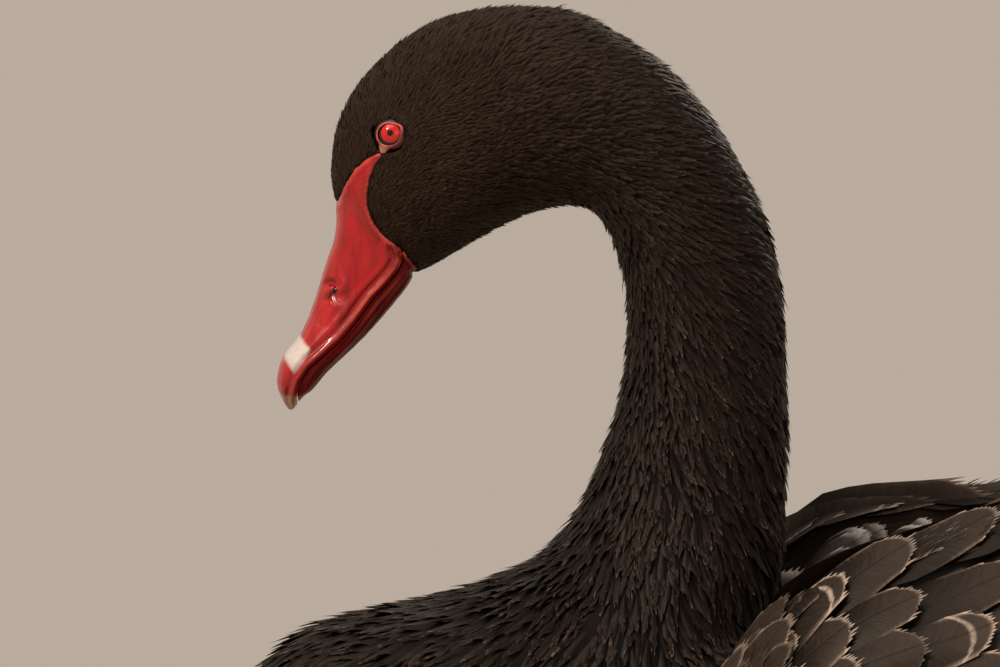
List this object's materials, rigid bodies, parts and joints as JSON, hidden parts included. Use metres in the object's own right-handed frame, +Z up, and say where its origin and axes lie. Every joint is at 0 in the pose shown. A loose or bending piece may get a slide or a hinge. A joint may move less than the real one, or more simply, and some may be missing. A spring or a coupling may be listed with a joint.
{
  "type": "black swan",
  "caption": "Life-size still model of an adult black swan resting on its belly, neck drawn back in a curve, bill lowered, wings half raised.",
  "frame": {"origin": "centre of the overall box at floor level, under the bird's belly", "axes": "+X towards the tail, so the bird faces -X; -Y is the bird's left side; +Z up"},
  "size_m": [0.646, 0.2928, 0.3894],
  "materials": {
    "body_feather": "satin brown-black feather",
    "wing_feather": "satin grey-brown feather with paler fringes",
    "bill_red": "wet red horn with a pale band near the tip",
    "eye_red": "wet red iris round a small black pupil",
    "leg_skin": "scaly grey-black skin"
  },
  "bodies": {
    "root": {"head": "body_feather", "neck_arch": "body_feather", "neck_middle": "body_feather", "neck_base": "body_feather", "trunk": "body_feather", "tail": "wing_feather", "upper_bill": "bill_red", "lower_bill": "bill_red", "left_eye": "eye_red", "right_eye": "eye_red", "left_wing": "wing_feather", "right_wing": "wing_feather", "left_leg": "leg_skin", "right_leg": "leg_skin", "left_foot": "leg_skin", "right_foot": "leg_skin"}
  },
  "joints": []
}
